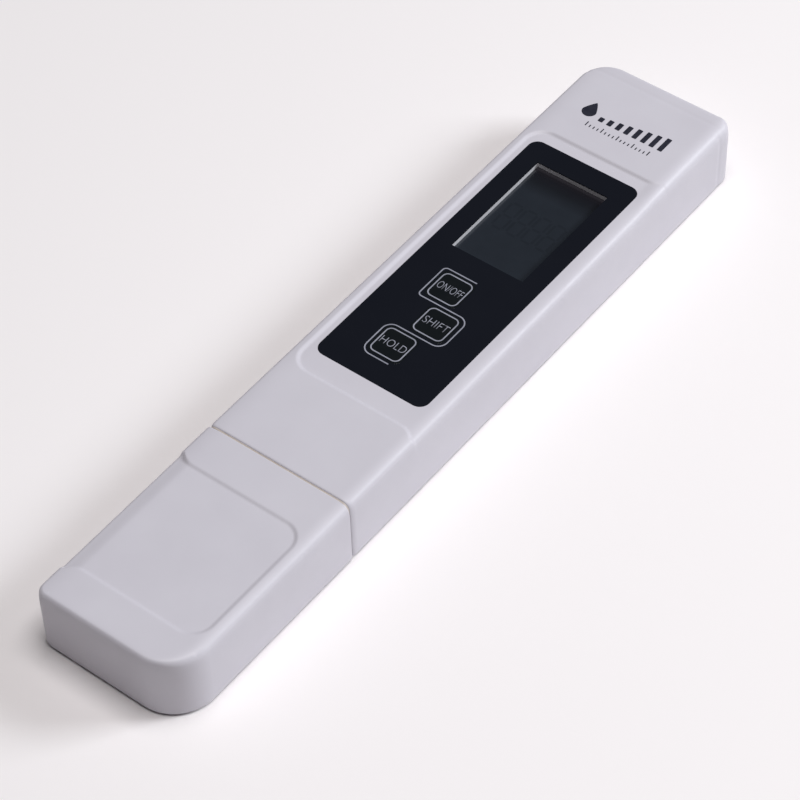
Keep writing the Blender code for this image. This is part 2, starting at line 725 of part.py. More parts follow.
def battery_tray(parts, cutters, mat):
    corners = box_corners(-TRAY_HALF_W, TRAY_HALF_W, TRAY_Y0, TRAY_Y1, (1.0 * MM,) * 4)
    tray = block("battery_tray", parts, corners, [(TRAY_Z0, 0.0), (TRAY_Z1, 0.0)], mat, 4)
    for number, y in enumerate(CELL_Y):
        bm = bmesh.new()
        cylinder_into(bm, (0.0, y), CELL_RADIUS + GAP, TRAY_Z0 - 1 * MM, 8.6 * MM, 40)
        boolean(tray, "DIFFERENCE", to_object(bm, f"cell_well_cut_{number}", cutters))
    return tray


def button_cell(parts, name, y, flip, mat):
    """Crimped can with a smaller cap on one face."""
    z0 = CELL_Z0
    z1 = CELL_Z0 + CELL_HEIGHT
    can = CELL_RADIUS
    steps = 40
    profile = [
        (can - 0.3 * MM, 0.0),
        (can, 0.3 * MM),
        (can, CELL_HEIGHT - 0.7 * MM),
        (can - 0.5 * MM, CELL_HEIGHT - 0.3 * MM),
        (can - 0.9 * MM, CELL_HEIGHT - 0.3 * MM),
        (can - 1.0 * MM, CELL_HEIGHT),
    ]
    bm = bmesh.new()
    loops = []
    for radius, h in profile:
        z = z1 - h if flip else z0 + h
        loop = []
        for i in range(steps):
            a = 2 * pi * i / steps
            loop.append(bm.verts.new((radius * cos(a), y + radius * sin(a), z)))
        loops.append(loop)
    for low, high in zip(loops, loops[1:]):
        for i in range(steps):
            j = (i + 1) % steps
            bm.faces.new((low[i], low[j], high[j], high[i]))
    bm.faces.new(list(reversed(loops[0])))
    bm.faces.new(loops[-1])
    return to_object(bm, "button_cell_" + name, parts, mat)


def plate(parts, name, x0, x1, y0, y1, z0, z1, mat):
    corners = box_corners(x0 * MM, x1 * MM, y0 * MM, y1 * MM, (0.4 * MM,) * 4)
    return block(name, parts, corners, [(z0 * MM, 0.0), (z1 * MM, 0.0)], mat, 3)


def wire(parts, name, points, mat):
    curve = bpy.data.curves.new(name, "CURVE")
    curve.dimensions = "3D"
    curve.bevel_depth = 0.45 * MM
    curve.bevel_resolution = 2
    curve.use_fill_caps = True
    curve.resolution_u = 6
    curve.render_resolution_u = 0
    spline = curve.splines.new("BEZIER")
    spline.bezier_points.add(len(points) - 1)
    for spot, co in zip(spline.bezier_points, points):
        spot.co = Vector(co) * MM
        spot.handle_left_type = "AUTO"
        spot.handle_right_type = "AUTO"
    curve.materials.append(mat)
    obj = bpy.data.objects.new(name, curve)
    parts.objects.link(obj)
    return obj


def sensor_wires(parts, red, black, grey):
    for name, x, mat in (("left", -5.0, red), ("middle", 0.0, grey), ("right", 5.0, black)):
        points = [(x, -41.4, 6.7), (x, -36.0, 6.4), (x * 0.9, -27.0, 5.4), (x * 0.8, -18.0, 6.0), (x * 0.8, -11.5, 6.7)]
        wire(parts, "sensor_wire_" + name, points, mat)


def build():
    clear_scene()
    parts = new_collection("digital_water_tester")
    cutters = new_collection("cutters")
    shell = material("pale_plastic", (0.60, 0.58, 0.60), 0.42)
    rear = material("rear_plastic", (0.58, 0.56, 0.58), 0.5)
    black_gloss = material("overlay_gloss", (0.012, 0.013, 0.02), 0.08)
    key_gloss = material("key_gloss", (0.014, 0.017, 0.02), 0.15)
    glass = material("display_glass", (0.03, 0.035, 0.045), 0.1)
    white = material("frame_plastic", (0.7, 0.7, 0.7), 0.5)
    elastomer = material("strip_elastomer", (0.35, 0.3, 0.34), 0.8)
    rubber = material("seal_rubber", (0.05, 0.05, 0.05), 0.8)
    plug = material("plug_plastic", (0.08, 0.08, 0.09), 0.5)
    titanium = material("pin_titanium", (0.5, 0.49, 0.47), 0.3, 1.0)
    steel = material("plated_steel", (0.6, 0.6, 0.6), 0.3, 1.0)
    spring = material("contact_nickel", (0.65, 0.6, 0.5), 0.3, 1.0)
    laminate = material("board_laminate", (0.02, 0.16, 0.06), 0.4)
    resin = material("blob_resin", (0.01, 0.01, 0.01), 0.3)
    blue = material("trimmer_blue", (0.02, 0.1, 0.35), 0.4)
    switch = material("switch_plastic", (0.03, 0.03, 0.03), 0.5)
    red_sheath = material("red_sheath", (0.5, 0.02, 0.02), 0.5)
    grey_sheath = material("grey_sheath", (0.4, 0.4, 0.4), 0.5)

    front_housing(parts, cutters, shell)
    probe_cap(parts, cutters, shell)
    rear_cover(parts, cutters, rear)
    battery_door(parts, cutters, rear)
    cap_seal_ring(parts, cutters, rubber)
    probe_plug(parts, cutters, plug)
    pin(parts, "electrode_left", -PIN_SPACING, PIN_RADIUS, PIN_TIP_Y, titanium)
    pin(parts, "electrode_right", PIN_SPACING, PIN_RADIUS, PIN_TIP_Y, titanium)
    pin(parts, "temperature_sensor", 0.0, SENSOR_RADIUS, SENSOR_TIP_Y, steel)
    display_overlay(parts, cutters, black_gloss)
    for name, x, y in KEYS:
        key(parts, name, x, y, key_gloss)
        switch_body(parts, cutters, name, x, y, switch)
        switch_stem(parts, name, x, y, switch)
    lcd_glass(parts, glass)
    lcd_frame(parts, cutters, white)
    contact_strip(parts, "left", -1, elastomer)
    contact_strip(parts, "right", 1, elastomer)
    main_board(parts, cutters, laminate)
    chip_blob(parts, resin)
    trimmer_body(parts, cutters, blue)
    trimmer_rotor(parts, cutters, white)
    crystal(parts, steel)
    battery_tray(parts, cutters, switch)
    button_cell(parts, "lower", CELL_Y[0], False, steel)
    button_cell(parts, "upper", CELL_Y[1], True, steel)
    plate(parts, "contact_positive", -2.0, 2.0, 54.0, 61.5, 8.0, 8.3, spring)
    plate(parts, "contact_negative", -2.0, 2.0, 65.8, 73.3, 8.0, 8.3, spring)
    plate(parts, "contact_link", -3.0, 3.0, 54.5, 72.5, 1.7, 2.0, spring)
    sensor_wires(parts, red_sheath, switch, grey_sheath)
    for number, (x, y) in enumerate(BOARD_POSTS):
        screw(parts, f"board_screw_{number + 1}", x * MM, y * MM, 6.2 * MM, 10.6 * MM, 1.5 * MM, steel)
    for number, (x, y) in enumerate(COVER_POSTS):
        screw(parts, f"cover_screw_{number + 1}", x * MM, y * MM, 0.1 * MM, 6.6 * MM, 1.7 * MM, steel)


build()
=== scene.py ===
"""Looks for the digital water tester: fine shells, printed overlay, display, probe and rear."""

from math import atan, cos, pi, radians, sin, sqrt, tan

import bmesh
import bpy
from mathutils import Matrix, Vector


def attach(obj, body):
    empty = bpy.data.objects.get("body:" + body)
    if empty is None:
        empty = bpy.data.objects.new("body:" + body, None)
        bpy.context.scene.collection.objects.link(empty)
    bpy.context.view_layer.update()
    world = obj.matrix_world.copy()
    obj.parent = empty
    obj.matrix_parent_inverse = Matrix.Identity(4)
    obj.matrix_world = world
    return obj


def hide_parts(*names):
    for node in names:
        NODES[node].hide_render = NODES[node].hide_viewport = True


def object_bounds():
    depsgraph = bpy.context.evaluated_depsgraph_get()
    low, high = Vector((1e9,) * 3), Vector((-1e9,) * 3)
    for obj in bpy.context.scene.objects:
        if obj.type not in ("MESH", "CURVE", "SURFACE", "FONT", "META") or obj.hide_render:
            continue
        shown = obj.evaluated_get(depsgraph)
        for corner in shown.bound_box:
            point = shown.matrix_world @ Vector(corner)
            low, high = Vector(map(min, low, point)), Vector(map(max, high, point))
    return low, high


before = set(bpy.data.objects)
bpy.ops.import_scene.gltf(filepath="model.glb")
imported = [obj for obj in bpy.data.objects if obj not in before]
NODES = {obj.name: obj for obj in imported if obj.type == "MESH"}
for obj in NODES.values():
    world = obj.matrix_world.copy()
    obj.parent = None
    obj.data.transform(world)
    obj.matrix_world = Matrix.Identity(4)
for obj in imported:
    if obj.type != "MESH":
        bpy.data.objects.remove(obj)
CAD_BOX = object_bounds()
MM = 0.001


def in_mm(value):
    """A length from the frame, in millimetres."""
    return round(value / MM, 3)


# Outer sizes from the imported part; lengths are in millimetres up to the studio
BOX_LOW, BOX_HIGH = CAD_BOX
HALF_W = in_mm(BOX_HIGH.x)
TOP = in_mm(BOX_HIGH.z)
END_CAP = in_mm(BOX_LOW.y)
END_BODY = in_mm(BOX_HIGH.y) + 0.25

# Parting line: the two mouths, the collar that closes the gap between them, the walls
MOUTH_BODY = -34.34
MOUTH_CAP = -34.64
MOUTH_PROUD = 0.12
COLLAR_HALF_W = 14.62
COLLAR_Z = (0.4, 13.38)
COLLAR_RADII = (1.1, 1.1, 1.5, 1.1)
COLLAR_WALL = 1.0
BODY_WALL = 1.5
CAP_WALL = 1.4

# Corner radii in plan, left and right, and the edges round the front face
BODY_RADII = (6.0, 2.6)
CAP_RADII = (2.2, 8.0)
LEFT_FILLET = 0.85
RIGHT_FILLET = 1.3
RIGHT_FILLET_GROWTH = 0.35
RIGHT_FILLET_SPAN = (46, 62)
# Soft shoulder inside each edge: slope where it meets the arc, and width
SHOULDERS = {"left": (0.15, 4.2), "right": (0.24, 1.8), "end": (0.12, 0.9)}
# Soft flank below each arc: slope where it leaves the arc, and height
FLANK_SLOPE = 0.2
FLANK_RUN = 2.6

# Fine line round the display end
END_LINE_FRONT = 74.85
END_LINE_SIDE = 73.75
END_LINE_DEPTH = 0.06
END_LINE_HALF = 0.7

# Shallow recesses, each (closed side x, low y, high y), open on the other side
RECESS_SLOPE = 0.9
RECESS_R = 4.3
FLARE_R = 4.0
BODY_RECESS = (-13.5, -16.1, 56.45)
BODY_RECESS_DEPTH = 0.37
BODY_FLARE_X = 10.8
CAP_RECESS = (13.05, -70.5, -42.65)
CAP_RECESS_DEPTH = 0.25
CAP_FLARE_X = -11.2

# Neck under the cap
NECK_HALF_W = 13.3
NECK_Z = (1.7, 11.7)
NECK_R = 3.0
NECK_WALL = 1.2
NECK_Y = (-33.0, -49.0)
GROOVE_Y = -38.5
GROOVE_DEPTH = 0.6

# Overlay, window and display; OVERLAY and WINDOW are (half width, low y, high y)
OVERLAY = (11.65, -10.9, 53.35)
OVERLAY_R = 2.0
OVERLAY_TOP = 13.27
OVERLAY_BASE = 13.06
POCKET_GAP = 0.02
WINDOW = (7.64, 22.9, 48.6)
DISPLAY_BASE = 11.31
DISPLAY_TOP = 12.18
# Colour of the display along y: painted shade where the window's far wall shades it, then lighter at
# the wall's foot as a painted reflection of that wall
DISPLAY_PAINTED_SHADE = (
    (42.5, (0.0200, 0.0243, 0.0318)),
    (45.5, (0.0118, 0.0132, 0.0172)),
    (46.9, (0.0108, 0.0112, 0.0150)),
    (47.6, (0.0150, 0.0143, 0.0190)),
    (48.1, (0.0245, 0.0232, 0.0290)),
    (48.6, (0.0285, 0.0262, 0.0325)),
)
DIGITS_X = (-4.6, -1.45, 1.7, 4.85)
DIGITS_Y = 35.2
DIGIT_HALF_W = 1.15
DIGIT_HALF_H = 3.4
DIGIT_BAR = 0.5

# Keys: centre x, centre y, legend, legend size
KEYS = {
    "power": (-1.3, 14.0, "ON/OFF", (5.15, 1.75)),
    "shift": (1.7, 6.0, "SHIFT", (5.1, 1.7)),
    "hold": (-1.3, -2.0, "HOLD", (5.2, 1.7)),
}
KEY_HALF = 3.48
KEY_HOLE = 3.5
KEY_HOLE_R = 1.2
KEY_OUTLINE_HALF = 3.02

# Printing: line width, and how far ink reaches into and above its surface
INK_WIDTH = 0.24
INK_BELOW = 0.005
INK_ABOVE = 0.015
# Line round the keys, as (x, y, corner radius)
KEY_LINE = (
    (1.62, 17.87, 0),
    (-5.22, 17.87, 0.8),
    (-5.22, 9.93, 0.75),
    (5.82, 9.93, 1.85),
    (5.82, 1.88, 1.85),
    (-5.22, 1.88, 1.85),
    (-5.22, -6.08, 1.8),
    (0.75, -6.08, 0),
)

# Printed mark: a drop, a row of rising bars and a row of ticks
DROP_CENTRE = (-7.7, 65.2)
DROP_RADIUS = 1.45
DROP_STEPS = 36
BAR_COUNT = 8
BAR_START = (-4.6, 63.5)
BAR_PITCH = 1.85
BAR_HALF_W = 0.5
TICK_COUNT = 17
TICK_START = (-6.2, 61.2)
TICK_PITCH = 0.84
TICK_HALF_W = 0.11

# Studio, in metres: light name, position, size, watts, colour
LIGHTS = (
    ("top", (0.12, 0.02, 0.90), 0.5, 6.0, (1.0, 0.98, 0.985)),
    ("right", (0.81, 0.83, 0.68), 0.42, 11.4, (0.915, 0.96, 1.0)),
)
WORLD_COLOUR = (0.95, 0.97, 1.0, 1)
WORLD_STRENGTH = 0.015
FLOOR_COLOUR = (0.93, 0.895, 0.895, 1)
FLOOR_HALF = 4.0
FLOOR_GAP = 0.0002

# Camera, at the photograph's angle: degrees and millimetres
VIEW_AZIMUTH = 39.080
VIEW_ELEVATION = 48.409
VIEW_ROLL = -1.981
VIEW_DISTANCE = 503.704
VIEW_AIM = (3.760, -6.952, 7.0)
SENSOR = 36.0
LENS = 133.55685


# ---------------------------------------------------------------- materials
# Pointiness at which an edge starts to lighten, and where it is fully so: rubbed edges, and on the
# shell also a painted highlight
WEAR_AND_HIGHLIGHT_STARTS = 0.52
WEAR_AND_HIGHLIGHT_FULL = 0.62


def ramp(tree, source, stops):
    """Colour ramp through (position, colour) stops, driven by source."""
    made = tree.nodes.new("ShaderNodeValToRGB")
    made.color_ramp.elements[0].position = stops[0][0]
    made.color_ramp.elements[0].color = (*stops[0][1], 1)
    made.color_ramp.elements[1].position = stops[-1][0]
    made.color_ramp.elements[1].color = (*stops[-1][1], 1)
    for position, colour in stops[1:-1]:
        element = made.color_ramp.elements.new(position)
        element.color = (*colour, 1)
    tree.links.new(source, made.inputs["Fac"])
    return made.outputs["Color"]


def noise(tree, scale, detail, stretch):
    """Noise in object coordinates, so that it moves with its piece."""
    coord = tree.nodes.new("ShaderNodeTexCoord")
    mapping = tree.nodes.new("ShaderNodeMapping")
    mapping.inputs["Scale"].default_value = stretch
    tree.links.new(coord.outputs["Object"], mapping.inputs["Vector"])
    made = tree.nodes.new("ShaderNodeTexNoise")
    made.inputs["Scale"].default_value = scale
    made.inputs["Detail"].default_value = detail
    tree.links.new(mapping.outputs["Vector"], made.inputs["Vector"])
    return made.outputs["Fac"]


def surface(
    name,
    dark,
    light,
    rough=(0.35, 0.5),
    metallic=0.0,
    mottle=60.0,
    grain=2500.0,
    bump=0.08,
    bump_distance=0.00003,
    stretch=(1, 1, 1),
    coat=0.0,
    wear_and_highlight=None,
    specular=0.5,
):
    """Moulded or metal surface: mottled colour, roughness variation, fine grain, lighter rubbed
    edges, which on the shell are also a painted highlight.
    """
    mat = bpy.data.materials.new(name)
    mat.use_nodes = True
    tree = mat.node_tree
    shader = tree.nodes["Principled BSDF"]
    shader.inputs["Metallic"].default_value = metallic
    shader.inputs["Coat Weight"].default_value = coat
    shader.inputs["Coat Roughness"].default_value = 0.05
    shader.inputs["Specular IOR Level"].default_value = specular
    soft = noise(tree, mottle, 4.0, stretch)
    colour = ramp(tree, soft, ((0.3, dark), (0.7, light)))
    if wear_and_highlight:
        geometry = tree.nodes.new("ShaderNodeNewGeometry")
        edge = ramp(
            tree,
            geometry.outputs["Pointiness"],
            ((WEAR_AND_HIGHLIGHT_STARTS, (0, 0, 0)), (WEAR_AND_HIGHLIGHT_FULL, (1, 1, 1))),
        )
        mix = tree.nodes.new("ShaderNodeMix")
        mix.data_type = "RGBA"
        tree.links.new(edge, mix.inputs["Factor"])
        tree.links.new(colour, mix.inputs["A"])
        mix.inputs["B"].default_value = (*wear_and_highlight, 1)
        colour = mix.outputs["Result"]
    tree.links.new(colour, shader.inputs["Base Color"])
    patch = noise(tree, mottle * 3.1, 5.0, stretch)
    low, high = rough
    tree.links.new(
        ramp(tree, patch, ((0.3, (low,) * 3), (0.7, (high,) * 3))),
        shader.inputs["Roughness"],
    )
    fine = noise(tree, grain, 2.0, stretch)
    bumped = tree.nodes.new("ShaderNodeBump")
    bumped.inputs["Strength"].default_value = bump
    bumped.inputs["Distance"].default_value = bump_distance
    tree.links.new(fine, bumped.inputs["Height"])
    tree.links.new(bumped.outputs["Normal"], shader.inputs["Normal"])
    return mat


def display_surface(name, strength):
    """Dark display glass, with painted shade along y from the window's far wall and a painted
    reflection of that wall at its foot.
    """
    low, high = (0.94 * strength,) * 3, (1.04 * strength,) * 3
    mat = surface(name, low, high, rough=(0.10, 0.16), mottle=300.0, grain=1800.0, bump=0.03)
    tree = mat.node_tree
    shader = tree.nodes["Principled BSDF"]
    base = shader.inputs["Base Color"].links[0].from_socket
    coord = tree.nodes.new("ShaderNodeTexCoord")
    split = tree.nodes.new("ShaderNodeSeparateXYZ")
    tree.links.new(coord.outputs["Object"], split.inputs["Vector"])
    along = tree.nodes.new("ShaderNodeMapRange")
    y0, y1 = DISPLAY_PAINTED_SHADE[0][0], DISPLAY_PAINTED_SHADE[-1][0]
    along.inputs["From Min"].default_value = y0 * MM
    along.inputs["From Max"].default_value = y1 * MM
    tree.links.new(split.outputs["Y"], along.inputs["Value"])
    stops = [((y - y0) / (y1 - y0), colour) for y, colour in DISPLAY_PAINTED_SHADE]
    mix = tree.nodes.new("ShaderNodeMix")
    mix.data_type = "RGBA"
    mix.blend_type = "MULTIPLY"
    mix.inputs["Factor"].default_value = 1.0
    tree.links.new(ramp(tree, along.outputs["Result"], stops), mix.inputs["A"])
    tree.links.new(base, mix.inputs["B"])
    tree.links.new(mix.outputs["Result"], shader.inputs["Base Color"])
    return mat


def make_materials():
    """Every finish by its short name."""
    return {
        "shell": surface(
            "shell_plastic",
            (0.585, 0.565, 0.618),
            (0.609, 0.590, 0.643),
            rough=(0.43, 0.49),
            mottle=90.0,
            # Lighter convex edges: rubbed edges, and a painted highlight along the shell's edges
            wear_and_highlight=(0.622, 0.603, 0.656),
        ),
        "neck": surface(
            "neck_plastic",
            (0.46, 0.40, 0.355),
            (0.52, 0.46, 0.41),
            rough=(0.35, 0.5),
            mottle=150.0,
        ),
        "rear": surface(
            "rear_plastic",
            (0.57, 0.55, 0.575),
            (0.61, 0.59, 0.615),
            rough=(0.45, 0.6),
            mottle=80.0,
            bump=0.25,
            wear_and_highlight=(0.62, 0.60, 0.625),
        ),
        "overlay": surface(
            "overlay_gloss",
            (0.0080, 0.0092, 0.0138),
            (0.0090, 0.0103, 0.0152),
            rough=(0.12, 0.20),
            mottle=50.0,
            grain=900.0,
            bump=0.03,
            specular=0.35,
        ),
        "key": surface(
            "key_gloss",
            (0.0066, 0.0084, 0.0100),
            (0.0076, 0.0094, 0.0112),
            rough=(0.16, 0.26),
            mottle=120.0,
            grain=3500.0,
            bump=0.15,
        ),
        "ink_grey": surface(
            "ink_grey", (0.25, 0.26, 0.31), (0.33, 0.34, 0.40), rough=(0.4, 0.55), mottle=400.0
        ),
        "ink_dark": surface(
            "ink_dark", (0.010, 0.011, 0.022), (0.018, 0.019, 0.034), rough=(0.4, 0.55), mottle=400.0
        ),
        "polariser": display_surface("display_polariser", 1.0),
        "segment": display_surface("display_segment", 0.87),
        "glass": surface(
            "display_glass", (0.10, 0.12, 0.12), (0.13, 0.15, 0.15), rough=(0.05, 0.12), coat=0.5
        ),
        # Lighter than the shell's plastic: on the window rim, which is the housing's own wall, the
        # extra lightness is painted light
        "window": surface(
            "frame_plastic", (0.74, 0.73, 0.77), (0.80, 0.79, 0.82), rough=(0.4, 0.5), mottle=200.0
        ),
        "rubber": surface(
            "seal_rubber",
            (0.020, 0.020, 0.021),
            (0.034, 0.034, 0.036),
            rough=(0.6, 0.8),
            bump=0.4,
        ),
        "elastomer": surface(
            "strip_elastomer", (0.25, 0.20, 0.24), (0.32, 0.27, 0.31), rough=(0.7, 0.85), bump=0.3
        ),
        "plug": surface(
            "plug_plastic", (0.030, 0.030, 0.033), (0.048, 0.048, 0.052), rough=(0.4, 0.55), bump=0.2
        ),
        "titanium": surface(
            "pin_titanium",
            (0.40, 0.39, 0.37),
            (0.52, 0.51, 0.48),
            rough=(0.22, 0.38),
            metallic=1.0,
            mottle=300.0,
            grain=1500.0,
            stretch=(1, 0.06, 1),
            bump=0.2,
        ),
        "steel": surface(
            "plated_steel",
            (0.54, 0.54, 0.54),
            (0.60, 0.60, 0.60),
            rough=(0.24, 0.32),
            metallic=1.0,
            mottle=250.0,
            bump=0.1,
            wear_and_highlight=(0.72, 0.72, 0.72),
        ),
        "sensor": surface(
            "sensor_steel",
            (0.50, 0.50, 0.50),
            (0.60, 0.60, 0.60),
            rough=(0.22, 0.32),
            metallic=1.0,
            mottle=300.0,
            grain=1500.0,
            stretch=(1, 0.06, 1),
            bump=0.1,
        ),
        "nickel": surface(
            "contact_nickel",
            (0.55, 0.50, 0.40),
            (0.66, 0.61, 0.50),
            rough=(0.24, 0.36),
            metallic=1.0,
            mottle=300.0,
            bump=0.1,
        ),
        "board": surface(
            "board_laminate",
            (0.010, 0.075, 0.028),
            (0.016, 0.105, 0.040),
            rough=(0.3, 0.45),
            coat=0.3,
        ),
        "resin": surface(
            "blob_resin", (0.006, 0.006, 0.006), (0.012, 0.012, 0.012), rough=(0.18, 0.35)
        ),
        "blue": surface(
            "trimmer_blue", (0.010, 0.060, 0.24), (0.016, 0.085, 0.30), rough=(0.35, 0.5)
        ),
        "switch": surface(
            "switch_plastic", (0.018, 0.018, 0.019), (0.028, 0.028, 0.030), rough=(0.45, 0.6)
        ),
        "red": surface(
            "red_sheath", (0.36, 0.012, 0.012), (0.44, 0.018, 0.018), rough=(0.35, 0.5)
        ),
        "grey": surface(
            "grey_sheath", (0.30, 0.30, 0.31), (0.37, 0.37, 0.38), rough=(0.35, 0.5)
        ),
    }


MAT = make_materials()


# ---------------------------------------------------------------- geometry
def outline(corners, inset=0.0, steps=8):
    """Points round a polygon of (x, y, radius) corners, drawn in by inset."""
    count = len(corners)
    spots = [Vector((x, y)) for x, y, _ in corners]
    points = []
    for i, (_, _, radius) in enumerate(corners):
        before = (spots[i] - spots[i - 1]).normalized()
        after = (spots[(i + 1) % count] - spots[i]).normalized()
        in0 = Vector((-before.y, before.x))
        in1 = Vector((-after.y, after.x))
        vertex = spots[i] + (in0 + in1) * (inset / (1.0 + in0.dot(in1)))
        if radius <= 0.0:
            points.append(vertex)
            continue
        convex = before.x * after.y - before.y * after.x > 0.0
        side = 1.0 if convex else -1.0
        size = max(radius - side * inset, 0.03)
        centre = vertex - before * (size * tan(before.angle(after) / 2)) + in0 * (side * size)
        start, end = -in0 * side, -in1 * side
        sweep = start.angle_signed(end)
        for k in range(steps + 1):
            points.append(centre + Matrix.Rotation(-sweep * k / steps, 2) @ start * size)
    return points


def rect(x0, x1, y0, y1, r):
    """Corners of a rectangle for outline; r is one radius or four, from the low corner round."""
    radii = (r,) * 4 if isinstance(r, (int, float)) else r
    return [(x0, y0, radii[0]), (x1, y0, radii[1]), (x1, y1, radii[2]), (x0, y1, radii[3])]


def filleted(z0, z1, bottom, top, steps=5):
    """(z, inset) levels of a slab whose bottom and top edges are rounded."""
    levels = [(z0, 0.0)] if bottom <= 0 else []
    if bottom > 0:
        for k in range(steps + 1):
            a = pi / 2 * k / steps
            levels.append((z0 + bottom * (1 - cos(a)), bottom * (1 - sin(a))))
    if top <= 0:
        return levels + [(z1, 0.0)]
    for k in range(steps, -1, -1):
        a = pi / 2 * k / steps
        levels.append((z1 - top * (1 - cos(a)), top * (1 - sin(a))))
    return levels


def skin_rings(bm, rings, cap=True):
    """Quads between rings of the same length; rings are lists of 3D points."""
    made = [[bm.verts.new(Vector(p) * MM) for p in ring] for ring in rings]
    count = len(made[0])
    for low, high in zip(made, made[1:]):
        for i in range(count):
            j = (i + 1) % count
            bm.faces.new((low[i], low[j], high[j], high[i]))
    if cap:
        bm.faces.new(list(reversed(made[0])))
        bm.faces.new(made[-1])


def loft(bm, corners, levels, steps=8):
    """Solid through (z, inset) levels of one outline."""
    rings = []
    for z, inset in levels:
        rings.append([(p.x, p.y, z) for p in outline(corners, inset, steps)])
    skin_rings(bm, rings)


def to_object(bm, name, mat=None, sharp=None):
    """Object from a bmesh; sharp is the angle above which its shading breaks."""
    bmesh.ops.remove_doubles(bm, verts=bm.verts, dist=1e-7)
    bmesh.ops.recalc_face_normals(bm, faces=bm.faces)
    mesh = bpy.data.meshes.new(name)
    bm.to_mesh(mesh)
    bm.free()
    obj = bpy.data.objects.new(name, mesh)
    bpy.context.scene.collection.objects.link(obj)
    if mat:
        mesh.materials.append(mat)
    if sharp is not None:
        shade(obj, sharp)
    return obj


def shade(obj, angle):
    """Smooth shading that stays flat on the larger faces."""
    obj.data.shade_smooth()
    obj.data.set_sharp_from_angle(angle=radians(angle))
    mod = obj.modifiers.new("normals", "WEIGHTED_NORMAL")
    mod.keep_sharp = True
    mod.weight = 80


def carve(obj, *cutters):
    """Cuts the cutters out of obj and keeps the result as its own mesh."""
    for cutter in cutters:
        mod = obj.modifiers.new("cut", "BOOLEAN")
        mod.operation = "DIFFERENCE"
        mod.solver = "EXACT"
        mod.object = cutter
    graph = bpy.context.evaluated_depsgraph_get()
    mesh = bpy.data.meshes.new_from_object(obj.evaluated_get(graph))
    obj.modifiers.clear()
    old = obj.data
    obj.data = mesh
    bpy.data.meshes.remove(old)
    for cutter in cutters:
        bpy.data.objects.remove(cutter, do_unlink=True)


def cutter_of(build):
    """Object for carve, from a function that fills a bmesh."""
    bm = bmesh.new()
    build(bm)
    return to_object(bm, "cutter")


def place(obj, body, slot, *nodes):
    """Puts a piece on its body, in place of any CAD nodes named; slot is not used."""
    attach(obj, body)
    if nodes:
        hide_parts(*nodes)


def side_fillet(x, y):
    """Size of the long front edges; the right one grows towards the display end."""
    if x < 0:
        return LEFT_FILLET
    start, end = RIGHT_FILLET_SPAN
    return RIGHT_FILLET + RIGHT_FILLET_GROWTH * smoothstep((y - start) / (end - start))


def edge_profile(size, slope, steps=8):
    """(outward, down) points of a soft-shouldered edge, from the face to the side."""
    start, end = atan(slope), pi / 2 - atan(FLANK_SLOPE)
    radius = (size - FLANK_SLOPE * FLANK_RUN / 3) / (sin(end) - sin(start))
    points = []
    for k in range(1, steps + 1):
        a = start + (end - start) * k / steps
        points.append((radius * (sin(a) - sin(start)), radius * (cos(start) - cos(a))))
    out, down = points[-1]
    for v in (0.15, 0.35, 0.6, 1.0):
        flank = FLANK_SLOPE * FLANK_RUN * (1 - (1 - v) ** 3) / 3
        points.append((out + flank, down + FLANK_RUN * v))
    return points


def shoulder_drop(distance, side):
    """Fall of the face towards its edge; distance is from where the edge's arc starts."""
    slope, run = SHOULDERS[side]
    u = min(max(distance / run, 0.0), 1.0)
    return slope * run * (1 - u) ** 3 / 3


def smoothstep(t):
    """Eases from 0 to 1."""
    t = min(max(t, 0.0), 1.0)
    return t * t * (3 - 2 * t)


def arc_rise(distance):
    """Rise of an arc of FLARE_R over a distance along its tangent."""
    d = min(max(distance, 0.0), FLARE_R * 0.95)
    return FLARE_R - sqrt(FLARE_R * FLARE_R - d * d)


def recess_depth(x, y, closed_x, facing, y0, y1, flare_x, full, dip, taper):
    """Depth of a shallow pocket closed at closed_x and open on the side it faces.

    Past flare_x its ends curve away from each other; dip deepens it there and taper fades
    its y1 corner out.
    """
    beyond = (x - flare_x) * facing
    rise = arc_rise(beyond)
    low, high = y0 - rise, y1 + rise
    across = (x - closed_x) * facing
    inside = min(across, y - low, high - y)
    if across < RECESS_R:
        for cy, past in ((low + RECESS_R, -1), (high - RECESS_R, 1)):
            if (y - cy) * past > 0:
                reach = sqrt((across - RECESS_R) ** 2 + (y - cy) ** 2)
                inside = RECESS_R - reach
    faded = taper * smoothstep(beyond / 3.2) * smoothstep((y - y1 + 10) / 9)
    lowered = full * (1 - faded) + dip * smoothstep((beyond - 0.4) / 2.6)
    return lowered * smoothstep(inside / RECESS_SLOPE)


def body_depth(x, y):
    """Depth of the housing's front face below TOP: its recess and the end line."""
    closed, y0, y1 = BODY_RECESS
    line = END_LINE_DEPTH * smoothstep(1 - abs(y - END_LINE_FRONT) / END_LINE_HALF)
    full = BODY_RECESS_DEPTH
    recess = recess_depth(x, y, closed, 1, y0, y1, BODY_FLARE_X, full, dip=0.0, taper=0.85)
    return recess + line


def cap_depth(x, y):
    """Depth of the cap's front face below TOP: the finger grip."""
    closed, y0, y1 = CAP_RECESS
    full = CAP_RECESS_DEPTH
    return recess_depth(x, y, closed, -1, y0, y1, CAP_FLARE_X, full, dip=0.25, taper=0.0)


def steps_between(stops):
    """Positions from (start, end, spacing) runs, ends included once."""
    out = []
    for start, end, spacing in stops:
        count = max(1, round((end - start) / spacing))
        out += [start + (end - start) * k / count for k in range(count)]
    out.append(stops[-1][1])
    return out


